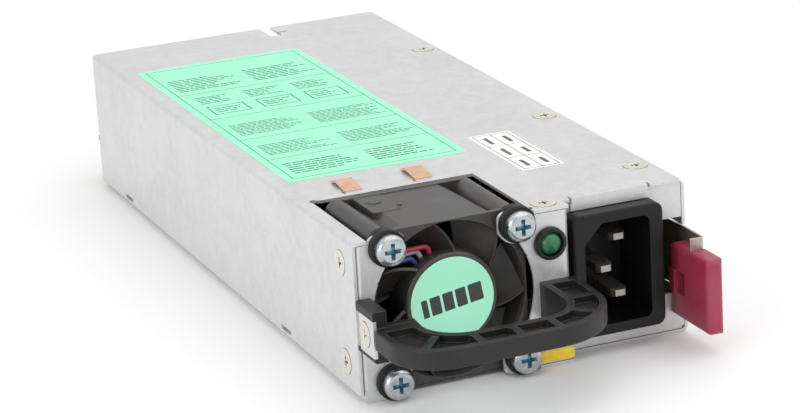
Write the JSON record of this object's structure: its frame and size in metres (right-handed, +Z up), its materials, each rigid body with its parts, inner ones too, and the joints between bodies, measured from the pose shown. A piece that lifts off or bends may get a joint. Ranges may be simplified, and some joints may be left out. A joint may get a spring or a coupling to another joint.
{
  "type": "hot swap server power supply",
  "caption": "Slim plug-in server power supply in folded steel, with a fan, an upright mains inlet, a carrying handle, a release latch and an output card edge.",
  "frame": {"origin": "centre of the chassis's bottom face", "axes": "+Z up, +X to the right seen from the fan end, +Y from the fan end to the output card edge"},
  "size_m": [0.0862, 0.235, 0.0408],
  "materials": {
    "zinc_steel": "galvanised sheet, satin",
    "spring_steel": "bright spring steel",
    "screw_steel": "bright zinc",
    "pan_screw": "bright zinc",
    "copper_spring": "polished copper",
    "black_rubber": "matt",
    "fan_plastic": "moulded, satin",
    "blade_plastic": "moulded, satin",
    "hub_film": "mint paper disc",
    "bearing_steel": "ground",
    "magnet": "bonded ferrite",
    "motor_iron": "laminated iron with copper coils",
    "white_nylon": "moulded",
    "wire_red": "PVC",
    "wire_white": "PVC",
    "wire_blue": "PVC",
    "lead_black": "PVC",
    "light_bezel": "moulded, satin",
    "green_lamp": "tinted epoxy",
    "inlet_plastic": "moulded, satin",
    "pin_metal": "nickel plate",
    "handle_plastic": "moulded, satin",
    "paddle_plastic": "moulded, satin",
    "board_green": "solder mask",
    "gold_plate": "gold plate",
    "standoff_brass": "turned",
    "insulation": "film",
    "busbar_copper": "bare copper",
    "capacitor_sleeve": "shrink sleeve",
    "film_capacitor": "cast box",
    "ferrite": "sintered",
    "copper_wire": "enamelled",
    "fuse_ceramic": "ceramic",
    "sink_aluminium": "extruded",
    "transistor_case": "moulded"
  },
  "bodies": {
    "chassis": {"base_tray": "zinc_steel", "top_cover": "zinc_steel", "left_bracket": "zinc_steel", "front_panel": "zinc_steel", "rear_panel": "zinc_steel", "latch_foot": "spring_steel", "latch_rivets": "spring_steel", "cover_screws": "screw_steel", "side_screws": "screw_steel", "handle_screws": "screw_steel", "fan_screws": "pan_screw", "copper_fingers": "copper_spring", "fan_grommets": "black_rubber", "fan_frame": "fan_plastic", "fan_hub_disc": "hub_film", "fan_bearings": "bearing_steel", "fan_stator": "motor_iron", "fan_plug": "white_nylon", "fan_header": "white_nylon", "fan_wire_red": "wire_red", "fan_wire_white": "wire_white", "fan_wire_blue": "wire_blue", "led_leads": "lead_black", "inlet_leads": "lead_black", "led_bezel": "light_bezel", "led_lamp": "green_lamp", "inlet_housing": "inlet_plastic", "inlet_pins": "pin_metal", "handle": "handle_plastic", "main_circuit_board": "board_green", "control_board": "board_green", "output_edge_board": "board_green", "fan_driver_board": "board_green", "edge_contacts": "gold_plate", "board_standoffs": "standoff_brass", "board_screws": "standoff_brass", "insulation_sheet": "insulation", "output_busbars": "busbar_copper", "bulk_capacitors": "capacitor_sleeve", "output_capacitors": "capacitor_sleeve", "filter_capacitors": "film_capacitor", "line_choke_core": "ferrite", "pfc_choke_core": "ferrite", "transformer_core": "ferrite", "line_choke_windings": "copper_wire", "pfc_choke_windings": "copper_wire", "transformer_winding": "copper_wire", "line_fuse": "fuse_ceramic", "primary_heatsink": "sink_aluminium", "secondary_heatsink": "sink_aluminium", "power_transistors": "transistor_case"},
    "fan_rotor": {"fan_impeller": "blade_plastic", "fan_shaft": "bearing_steel", "fan_magnet": "magnet"},
    "latch": {"latch_leaf": "spring_steel", "latch_paddle": "paddle_plastic"}
  },
  "joints": [
    {"name": "fan_spin", "type": "hinge", "parent": "chassis", "child": "fan_rotor", "pos_m": [-0.0187, -0.078, 0.0204], "axis": [0, 1, 0], "continuous": true},
    {"name": "latch_press", "type": "hinge", "parent": "chassis", "child": "latch", "pos_m": [0.0416, -0.06785, 0.0184], "axis": [0, 0, 1], "range_deg": [-4.5, 0], "stiffness_Nm_per_rad": 0.3}
  ]
}
